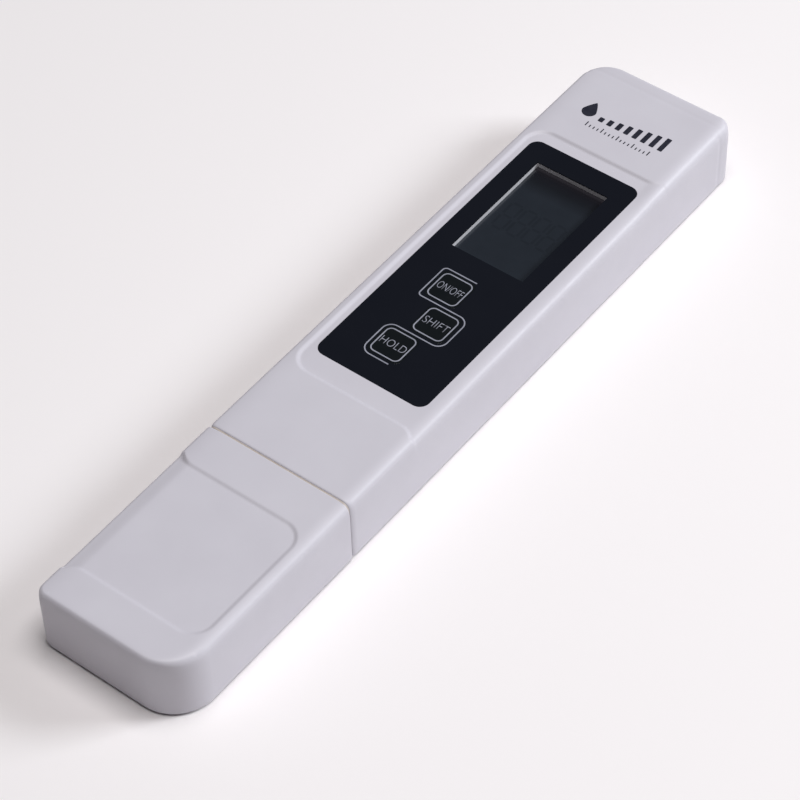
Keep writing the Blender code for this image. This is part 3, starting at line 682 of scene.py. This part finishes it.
def side_chain(side, length, radius, longest, runs, arc_count):
    """(point, normal) pairs up one side of the plan, from the mouth round the end corner."""
    straight_end = length - longest
    chain = [(Vector((side * HALF_W, v)), Vector((side, 0.0))) for v in runs]
    extra = longest - radius
    total = extra + radius * pi / 2
    for k in range(1, arc_count + 1):
        s = total * k / arc_count
        if s <= extra:
            chain.append((Vector((side * HALF_W, straight_end + s)), Vector((side, 0.0))))
            continue
        a = (s - extra) / radius
        normal = Vector((side * cos(a), sin(a)))
        centre = Vector((side * (HALF_W - radius), length - radius))
        chain.append((centre + normal * radius, normal))
    return chain


def shell(
    name, mouth, end, radii, end_fillet, back_fillet, proud, lip, depth, runs, columns, arc_count
):
    """Closed outer solid: gridded front face, rounded edges, straight sides, flat back.

    lip holds the (run, fall) of the mouth's edge on the sides and on the faces, proud how far
    the sides stand out at the mouth, runs the rows' distances from the mouth up to the end
    corners, columns the places across the face, and depth the face's fall at (x, y).
    """
    direction = 1 if end > mouth else -1
    length = abs(end - mouth)
    longest = max(radii)
    left = side_chain(-1, length, radii[0], longest, runs, arc_count)
    right = side_chain(1, length, radii[1], longest, runs, arc_count)
    span = columns[-1] - columns[0]
    shares = [(c - columns[0]) / span for c in columns]

    def fillet_at(point, normal):
        y = mouth + direction * point.y
        return side_fillet(point.x, y) * normal.x**2 + end_fillet * normal.y**2

    def dip(v, run, fall):
        return fall * (1 - sqrt(max(1 - (1 - min(v / run, 1.0)) ** 2, 0.0)))

    def settle(p, v):
        """Rounds the edge at the mouth, dents the end line, turns plan distance into y."""
        y = mouth + direction * p[1]
        (side_run, side_fall), (front_run, front_fall) = lip
        line = 1.6 * END_LINE_DEPTH * smoothstep(1 - abs(y - END_LINE_SIDE) / END_LINE_HALF)
        x = p[0] * (1 + (proud * (1 - v / length) - dip(v, side_run, side_fall) - line) / HALF_W)
        z = TOP / 2 + (p[2] - TOP / 2) * (1 - dip(v, front_run, front_fall) / (TOP / 2))
        return Vector((x, y, z)) * MM

    def shoulder(p):
        """Fall of the face near the plan's outline, deeper towards its edges."""
        gap_side = HALF_W - abs(p.x)
        gap_end = length - p.y
        side, radius = ("left", radii[0]) if p.x < 0 else ("right", radii[1])
        fillet = side_fillet(p.x, mouth + direction * p.y)
        across = shoulder_drop(gap_side - fillet, side)
        if gap_side < radius and gap_end < radius:
            reach = Vector((radius - gap_side, radius - gap_end))
            share = reach.x**2 / reach.length_squared
            gap = radius - reach.length - fillet * share - end_fillet * (1 - share)
            blend = shoulder_drop(gap, side) * share + shoulder_drop(gap, "end") * (1 - share)
            return max(across, blend)
        return max(across, shoulder_drop(gap_end - end_fillet, "end"))

    def slope_at(normal):
        flank = SHOULDERS["left" if normal.x < 0 else "right"][0]
        return flank * normal.x**2 + SHOULDERS["end"][0] * normal.y**2

    bm = bmesh.new()
    grid = []
    left_sizes = [fillet_at(q, normal) for q, normal in left]
    right_sizes = [fillet_at(q, normal) for q, normal in right]
    for k, ((ql, nl), (qr, nr)) in enumerate(zip(left, right)):
        pl = ql - nl * left_sizes[k]
        pr = qr - nr * right_sizes[k]
        row = []
        for s in shares:
            p = pl.lerp(pr, s)
            y = mouth + direction * p.y
            z = TOP - depth(p.x, y) - shoulder(p)
            row.append((Vector((p.x, p.y, z)), bm.verts.new(settle((p.x, p.y, z), p.y))))
        grid.append(row)
    for low, high in zip(grid, grid[1:]):
        for i in range(len(shares) - 1):
            bm.faces.new((low[i][1], low[i + 1][1], high[i + 1][1], high[i][1]))
    edge = [(grid[k][0], left[k][1], left_sizes[k]) for k in range(len(left))]
    edge += [(grid[-1][i], Vector((0.0, 1.0)), end_fillet) for i in range(1, len(shares) - 1)]
    edge += [
        (grid[k][-1], right[k][1], right_sizes[k]) for k in range(len(right) - 1, -1, -1)
    ]
    columns_down = []
    for (point, vert), normal, size in edge:
        down = [vert]
        for out, fall in edge_profile(size, slope_at(normal)):
            x, y = point.x + normal.x * out, point.y + normal.y * out
            down.append(bm.verts.new(settle((x, y, point.z - fall), y)))
        outer = (point.x + normal.x * size, point.y + normal.y * size)
        for z in (TOP * 0.5, TOP * 0.25):
            down.append(bm.verts.new(settle((*outer, z), outer[1])))
        for k in range(5):
            a = pi / 2 * k / 4
            back = back_fillet * (1 - cos(a))
            x, y = outer[0] - normal.x * back, outer[1] - normal.y * back
            down.append(bm.verts.new(settle((x, y, back_fillet * (1 - sin(a))), y)))
        columns_down.append(down)
    for a, b in zip(columns_down, columns_down[1:]):
        for i in range(len(a) - 1):
            bm.faces.new((a[i], a[i + 1], b[i + 1], b[i]))
    bm.faces.new([c[-1] for c in columns_down])
    first, last = columns_down[0], columns_down[-1]
    bm.faces.new([c[1] for c in grid[0]] + last[1:] + list(reversed(first[1:])))
    return to_object(bm, name, MAT["shell"])


def housing():
    """Front housing: finely gridded shell, hollowed, with its openings cut through."""
    runs = steps_between(
        (
            (0.0, 1.2, 0.08),
            (1.2, 16.6, 2.4),
            (16.6, 24.4, 0.16),
            (24.4, 84.5, 2.6),
            (84.5, 92.8, 0.17),
            (92.8, 106.4, 1.9),
        )
    )
    columns = steps_between(((-14.15, -8.7, 0.16), (-8.7, 9.6, 1.6), (9.6, 14.15, 0.16)))
    body = shell(
        "housing_shell",
        MOUTH_BODY,
        END_BODY,
        BODY_RADII,
        end_fillet=1.3,
        back_fillet=0.6,
        proud=0.0,
        lip=((1.2, 0.4), (0.5, 0.24)),
        depth=body_depth,
        runs=runs,
        columns=columns,
        arc_count=24,
    )
    w = BODY_WALL
    cavity = cutter_of(
        lambda bm: loft(
            bm,
            rect(-HALF_W + w, HALF_W - w, MOUTH_BODY + w, END_BODY - w, (0.6, 0.6, 1.5, 4.5)),
            [(-1.0, 0.0), (10.8, 0.0), (11.6, 0.8)],
        )
    )
    bore_x = NECK_HALF_W - NECK_WALL
    bore_z = ((NECK_Z[0] + NECK_WALL, 0.0), (NECK_Z[1] - NECK_WALL, 0.0))
    bore = cutter_of(lambda bm: loft(bm, rect(-bore_x, bore_x, -40, -30, 0.0), bore_z))

    def pocket(bm):
        x, y0, y1 = OVERLAY
        g = POCKET_GAP
        sides = rect(-x - g, x + g, y0 - g, y1 + g, OVERLAY_R + g)
        loft(bm, sides, [(OVERLAY_BASE - 0.03, 0.0), (TOP + 1, 0.0)])

    def through(bm):
        x, y0, y1 = WINDOW
        loft(bm, rect(-x - 0.7, x + 0.7, y0 - 0.7, y1 + 0.7, 0.6), [(10, 0.0), (13.1, 0.0)], 4)
        for kx, ky, _, _ in KEYS.values():
            h = KEY_HOLE + 0.1
            loft(bm, rect(kx - h, kx + h, ky - h, ky + h, KEY_HOLE_R), [(10, 0.0), (13.1, 0.0)], 5)

    def door_notch(bm):
        sides = rect(-11.5, 11.5, END_BODY - 2.2, END_BODY + 2, 0.0)
        loft(bm, sides, [(-1, 0.0), (2.2, 0.0)])

    carve(body, cavity, bore, cutter_of(pocket), cutter_of(through), cutter_of(door_notch))
    shade(body, 30)
    place(body, "housing", "shell_plastic", "front_housing")


def neck_section(grow):
    x = NECK_HALF_W + grow
    z0, z1 = NECK_Z
    return outline(rect(-x, x, z0 - grow, z1 + grow, NECK_R + grow), 0.0, 7)


def neck():
    """Neck tube with its seal groove; outer skin down, bore back up."""
    start, end = NECK_Y
    stations = [
        (start, 0.0),
        (GROOVE_Y + 0.85, 0.0),
        (GROOVE_Y + 0.8, -0.05),
        (GROOVE_Y + 0.78, -GROOVE_DEPTH),
        (GROOVE_Y - 0.78, -GROOVE_DEPTH),
        (GROOVE_Y - 0.8, -0.05),
        (GROOVE_Y - 0.85, 0.0),
        (end + 0.4, 0.0),
        (end + 0.15, -0.08),
        (end, -0.3),
        (end, -NECK_WALL),
        (start, -NECK_WALL),
    ]
    bm = bmesh.new()
    rings = [[(p.x, y, p.y) for p in neck_section(grow)] for y, grow in stations]
    rings.append(rings[0])
    skin_rings(bm, rings, cap=False)
    obj = to_object(bm, "housing_neck", MAT["neck"], 35)
    place(obj, "housing", "shell_plastic")


def mouth_collar():
    """Step inside the body's mouth that shows as the parting line with the cap."""
    bm = bmesh.new()
    rings = []
    z0, z1 = COLLAR_Z
    for y in (MOUTH_CAP + 0.03, MOUTH_BODY + 0.01):
        for wall in (0.0, COLLAR_WALL):
            x = COLLAR_HALF_W - wall
            section = outline(rect(-x, x, z0 + wall, z1 - wall, COLLAR_RADII), 0.0, 5)
            rings.append([(p.x, y, p.y) for p in section])
    rings = [rings[0], rings[1], rings[3], rings[2], rings[0]]
    skin_rings(bm, rings, cap=False)
    obj = to_object(bm, "mouth_collar", MAT["neck"], 35)
    place(obj, "housing", "shell_plastic")


def cap():
    """Probe cap: finely gridded shell with its finger grip, hollowed from the mouth."""
    runs = steps_between(
        (
            (0.0, 0.5, 0.05),
            (0.5, 5.7, 1.4),
            (5.7, 13.2, 0.17),
            (13.2, 30.2, 2.4),
            (30.2, 35.5, 0.17),
        )
    )
    columns = steps_between(((-14.15, -9.8, 0.17), (-9.8, 8.4, 1.6), (8.4, 14.15, 0.17)))
    obj = shell(
        "cap_shell",
        MOUTH_CAP,
        END_CAP,
        CAP_RADII,
        end_fillet=0.9,
        back_fillet=0.7,
        proud=MOUTH_PROUD,
        lip=((0.35, 0.35), (0.25, 0.2)),
        depth=cap_depth,
        runs=runs,
        columns=columns,
        arc_count=42,
    )
    w = CAP_WALL
    inner = cutter_of(
        lambda bm: loft(
            bm,
            rect(-HALF_W + w, HALF_W - w, END_CAP + 1.5, MOUTH_CAP + 5, (1.2, 6.6, 0.0, 0.0)),
            filleted(1.4, 12.0, 3.3, 3.3, 6),
        )
    )
    carve(obj, inner)
    shade(obj, 30)
    place(obj, "cap", "shell_plastic", "probe_cap")


def overlay():
    """Gloss panel with its window and key holes."""
    bm = bmesh.new()
    x, y0, y1 = OVERLAY
    loft(bm, rect(-x, x, y0, y1, OVERLAY_R), filleted(OVERLAY_BASE, OVERLAY_TOP, 0.0, 0.03, 2), 10)
    obj = to_object(bm, "overlay_panel", MAT["overlay"])

    def holes(cut):
        wx, wy0, wy1 = WINDOW
        loft(cut, rect(-wx, wx, wy0, wy1, 0.15), [(12, 0.0), (14, 0.0)], 3)
        for kx, ky, _, _ in KEYS.values():
            h = KEY_HOLE
            loft(cut, rect(kx - h, kx + h, ky - h, ky + h, KEY_HOLE_R), [(12, 0.0), (14, 0.0)], 8)

    carve(obj, cutter_of(holes))
    shade(obj, 40)
    place(obj, "housing", "overlay_gloss", "display_overlay")


def window_walls():
    """White rim that lines the window down to the display, in a plastic lighter than the shell's as
    painted light on these walls.
    """
    x, y0, y1 = WINDOW
    inner = rect(-x, x, y0, y1, 0.17)
    outer = rect(-x - 0.6, x + 0.6, y0 - 0.6, y1 + 0.6, 0.5)
    rings = []
    low, high = DISPLAY_TOP - 0.06, OVERLAY_BASE - 0.02
    for corners, z in ((inner, low), (inner, high), (outer, high), (outer, low), (inner, low)):
        rings.append([(p.x, p.y, z) for p in outline(corners, 0.0, 3)])
    bm = bmesh.new()
    skin_rings(bm, rings, cap=False)
    obj = to_object(bm, "window_rim", MAT["window"], 35)
    place(obj, "housing", "frame_plastic")


def display():
    """Dark face of the display and its unlit digits."""
    bm = bmesh.new()
    x, y0, y1 = WINDOW
    plate = rect(-x - 0.02, x + 0.02, y0 - 0.02, y1 + 0.02, 0.15)
    loft(bm, plate, filleted(DISPLAY_BASE, DISPLAY_TOP, 0.0, 0.02, 1), 2)
    obj = to_object(bm, "display_polariser", MAT["polariser"], 40)
    place(obj, "housing", "display_glass")
    bm = bmesh.new()
    for x in DIGITS_X:
        digit(bm, x, DIGITS_Y)
    obj = to_object(bm, "display_segments", MAT["segment"])
    place(obj, "housing", "display_glass")


def digit(bm, x, y):
    """Seven bars of a resting figure eight."""
    z = [(DISPLAY_TOP - 0.01, 0.0), (DISPLAY_TOP + 0.002, 0.0)]
    half_w, half_h, w = DIGIT_HALF_W, DIGIT_HALF_H, DIGIT_BAR / 2
    for dy in (-half_h, 0.0, half_h):
        loft(bm, rect(x - half_w + w, x + half_w - w, y + dy - w, y + dy + w, 0.08), z, 1)
    for dx in (-half_w, half_w):
        for low, high in ((-half_h, 0.0), (0.0, half_h)):
            y0, y1 = y + low + 1.3 * w, y + high - 1.3 * w
            loft(bm, rect(x + dx - w, x + dx + w, y0, y1, 0.08), z, 1)


def ribbon(bm, points, closed=False):
    """Flat line of ink on the overlay's face along 2D points."""
    z0, z1 = OVERLAY_TOP - INK_BELOW, OVERLAY_TOP + INK_ABOVE
    count = len(points)
    left, right = [], []
    for i, p in enumerate(points):
        before = points[i - 1] if (closed or i > 0) else p
        after = points[(i + 1) % count] if (closed or i < count - 1) else p
        tangent = (after - before).normalized()
        normal = Vector((-tangent.y, tangent.x)) * (INK_WIDTH / 2)
        left.append(p + normal)
        right.append(p - normal)
    section = []
    for a, b in zip(left, right):
        section.append([(a.x, a.y, z0), (a.x, a.y, z1), (b.x, b.y, z1), (b.x, b.y, z0)])
    if closed:
        section.append(section[0])
    skin_rings(bm, section, cap=not closed)


def path_with_corners(vertices, steps=8):
    """Open polyline with rounded corners from (x, y, radius)."""
    spots = [Vector((x, y)) for x, y, _ in vertices]
    points = [spots[0]]
    for i in range(1, len(spots) - 1):
        radius = vertices[i][2]
        before = (spots[i] - spots[i - 1]).normalized()
        after = (spots[i + 1] - spots[i]).normalized()
        turn = before.cross(after)
        side = 1.0 if turn > 0 else -1.0
        inward = Vector((-before.y, before.x)) * side
        centre = spots[i] - before * radius * tan(before.angle(after) / 2) + inward * radius
        sweep = before.angle_signed(after)
        for k in range(steps + 1):
            points.append(centre + Matrix.Rotation(-sweep * k / steps, 2) @ (-inward) * radius)
    points.append(spots[-1])
    return points


def printed_line():
    """Line that winds round the three keys on the overlay."""
    bm = bmesh.new()
    ribbon(bm, path_with_corners(KEY_LINE))
    obj = to_object(bm, "overlay_print", MAT["ink_grey"])
    place(obj, "housing", "overlay_gloss")


def lettered(text, size, centre):
    """Mesh of a short generic key legend fitted to a width and height."""
    curve = bpy.data.curves.new("legend", "FONT")
    curve.body = text
    curve.resolution_u = 4
    curve.offset = -0.012
    obj = bpy.data.objects.new("legend", curve)
    bpy.context.scene.collection.objects.link(obj)
    graph = bpy.context.evaluated_depsgraph_get()
    mesh = bpy.data.meshes.new_from_object(obj.evaluated_get(graph))
    bpy.data.objects.remove(obj, do_unlink=True)
    bm = bmesh.new()
    bm.from_mesh(mesh)
    bpy.data.meshes.remove(mesh)
    for axis in (0, 1):
        spread = [v.co[axis] for v in bm.verts]
        low, high = min(spread), max(spread)
        for v in bm.verts:
            share = (v.co[axis] - low) / (high - low)
            v.co[axis] = (centre[axis] + (share - 0.5) * size[axis]) * MM
    for v in bm.verts:
        v.co.z = OVERLAY_TOP * MM
    bmesh.ops.remove_doubles(bm, verts=bm.verts, dist=1e-6)
    made = bmesh.ops.extrude_face_region(bm, geom=list(bm.faces))
    for element in made["geom"]:
        if isinstance(element, bmesh.types.BMVert):
            element.co.z += INK_ABOVE * MM
    return bm


def keys():
    """Key tops with their printed outlines and legends."""
    for name, (x, y, text, size) in KEYS.items():
        body = name + "_key"
        h, r = KEY_HALF, KEY_OUTLINE_HALF
        bm = bmesh.new()
        flange = [(10.9, -0.4), (11.4, -0.4), (11.4, 0.0)]
        levels = flange + filleted(11.45, OVERLAY_TOP, 0.0, 0.02, 2)
        loft(bm, rect(x - h, x + h, y - h, y + h, 1.15), levels, 8)
        top = to_object(bm, "key_top_" + name, MAT["key"], 40)
        place(top, body, "key_gloss", "key_" + name)
        bm = bmesh.new()
        ribbon(bm, outline(rect(x - r, x + r, y - r, y + r, 1.05), 0.0, 8), closed=True)
        ring = to_object(bm, "key_outline_" + name, MAT["ink_grey"])
        place(ring, body, "key_gloss")
        letters = lettered(text, size, (x, y + 0.05))
        legend = to_object(letters, "key_legend_" + name, MAT["ink_grey"])
        place(legend, body, "key_gloss")


def drop_outline():
    """Points round a water drop: a round belly drawn up to a narrow tip."""
    points = []
    for k in range(DROP_STEPS):
        a = 2 * pi * k / DROP_STEPS
        up = cos(a)
        narrow = 1 if up < 0 else (1 - 0.9 * up) ** 0.5 * (1 - up * 0.1)
        stretch = 1.0 if up < 0 else 1.75
        x = DROP_CENTRE[0] + DROP_RADIUS * sin(a) * narrow
        y = DROP_CENTRE[1] + DROP_RADIUS * (stretch * up - 0.3)
        points.append((x, y))
    return points


def label_mark():
    """Generic drop and rising level bars printed on the display end."""
    z0, z1 = TOP - INK_BELOW, TOP + 0.012
    levels = [(z0, 0.0), (z1, 0.0)]
    bm = bmesh.new()
    drop = drop_outline()
    skin_rings(bm, [[(x, y, z) for x, y in reversed(drop)] for z in (z0, z1)])
    for k in range(BAR_COUNT):
        x, y = BAR_START[0] + BAR_PITCH * k, BAR_START[1]
        height = 1.2 + 0.36 * k
        loft(bm, rect(x - BAR_HALF_W, x + BAR_HALF_W, y, y + height, 0.15), levels, 2)
    for k in range(TICK_COUNT):
        x, y = TICK_START[0] + TICK_PITCH * k, TICK_START[1]
        height = 1.2 if k % 4 == 0 else 0.7
        loft(bm, rect(x - TICK_HALF_W, x + TICK_HALF_W, y, y + height, 0.04), levels, 1)
    obj = to_object(bm, "label_mark", MAT["ink_dark"])
    place(obj, "housing", "shell_plastic")


# ---------------------------------------------------------------- carried nodes
# CAD nodes that stay as they are, and the finish of each
CARRIED = {
    "rear_cover": "rear",
    "battery_door": "rear",
    "cap_seal_ring": "rubber",
    "probe_plug": "plug",
    "electrode_left": "titanium",
    "electrode_right": "titanium",
    "temperature_sensor": "sensor",
    "lcd_glass": "glass",
    "lcd_frame": "window",
    "contact_strip_left": "elastomer",
    "contact_strip_right": "elastomer",
    "main_board": "board",
    "chip_blob": "resin",
    "trimmer_body": "blue",
    "trimmer_rotor": "window",
    "crystal": "steel",
    "battery_tray": "switch",
    "button_cell_lower": "steel",
    "button_cell_upper": "steel",
    "contact_positive": "nickel",
    "contact_negative": "nickel",
    "contact_link": "nickel",
    "sensor_wire_left": "red",
    "sensor_wire_middle": "switch",
    "sensor_wire_right": "grey",
    "cover_screw_1": "steel",
    "cover_screw_2": "steel",
}


def carried_nodes():
    """CAD nodes that stay, each with its own finish and softened edges."""
    looks = dict(CARRIED)
    for k in range(1, 5):
        looks[f"board_screw_{k}"] = "steel"
    for name in KEYS:
        looks["switch_body_" + name] = "switch"
        looks["switch_stem_" + name] = "switch"
    for name, look in looks.items():
        obj = NODES[name]
        obj.data.materials.clear()
        obj.data.materials.append(MAT[look])
        shade(obj, 30)


# ---------------------------------------------------------------- studio
def studio():
    """Pale floor, faint sky, two soft lights."""
    bm = bmesh.new()
    bmesh.ops.create_grid(bm, x_segments=8, y_segments=8, size=FLOOR_HALF)
    mesh = bpy.data.meshes.new("floor")
    bm.to_mesh(mesh)
    bm.free()
    floor = bpy.data.objects.new("floor", mesh)
    bpy.context.scene.collection.objects.link(floor)
    floor.location.z = -FLOOR_GAP
    mat = bpy.data.materials.new("floor")
    mat.use_nodes = True
    shader = mat.node_tree.nodes["Principled BSDF"]
    shader.inputs["Base Color"].default_value = FLOOR_COLOUR
    shader.inputs["Roughness"].default_value = 0.9
    mesh.materials.append(mat)

    world = bpy.data.worlds.new("studio")
    bpy.context.scene.world = world
    world.use_nodes = True
    background = world.node_tree.nodes["Background"]
    background.inputs["Color"].default_value = WORLD_COLOUR
    background.inputs["Strength"].default_value = WORLD_STRENGTH
    for light in LIGHTS:
        area_light(*light)
    bpy.context.scene.view_settings.view_transform = "Standard"


def area_light(name, position, size, watts, colour):
    """Square light that faces the object."""
    light = bpy.data.lights.new(name, "AREA")
    light.size = size
    light.energy = watts
    light.color = colour
    obj = bpy.data.objects.new(name, light)
    bpy.context.scene.collection.objects.link(obj)
    obj.location = position
    obj.rotation_euler = (-Vector(position)).to_track_quat("-Z", "Y").to_euler()


def camera():
    """Camera on a sphere round VIEW_AIM, turned by VIEW_ROLL about its own axis."""
    azimuth, elevation, roll = radians(VIEW_AZIMUTH), radians(VIEW_ELEVATION), radians(VIEW_ROLL)
    back = Vector((sin(azimuth) * cos(elevation), -cos(azimuth) * cos(elevation), sin(elevation)))
    right = (-back).cross(Vector((0, 0, 1))).normalized()
    up = right.cross(-back)
    right, up = right * cos(roll) + up * sin(roll), up * cos(roll) - right * sin(roll)
    data = bpy.data.cameras.new("camera")
    data.sensor_width = SENSOR
    data.lens = LENS
    data.clip_start = 0.01
    obj = bpy.data.objects.new("camera", data)
    bpy.context.scene.collection.objects.link(obj)
    spot = (Vector(VIEW_AIM) + back * VIEW_DISTANCE) * MM
    turn = Matrix((right, up, back)).transposed()
    obj.matrix_world = Matrix.Translation(spot) @ turn.to_4x4()
    bpy.context.scene.camera = obj


camera()
studio()
housing()
neck()
mouth_collar()
cap()
overlay()
window_walls()
display()
printed_line()
keys()
label_mark()
carried_nodes()
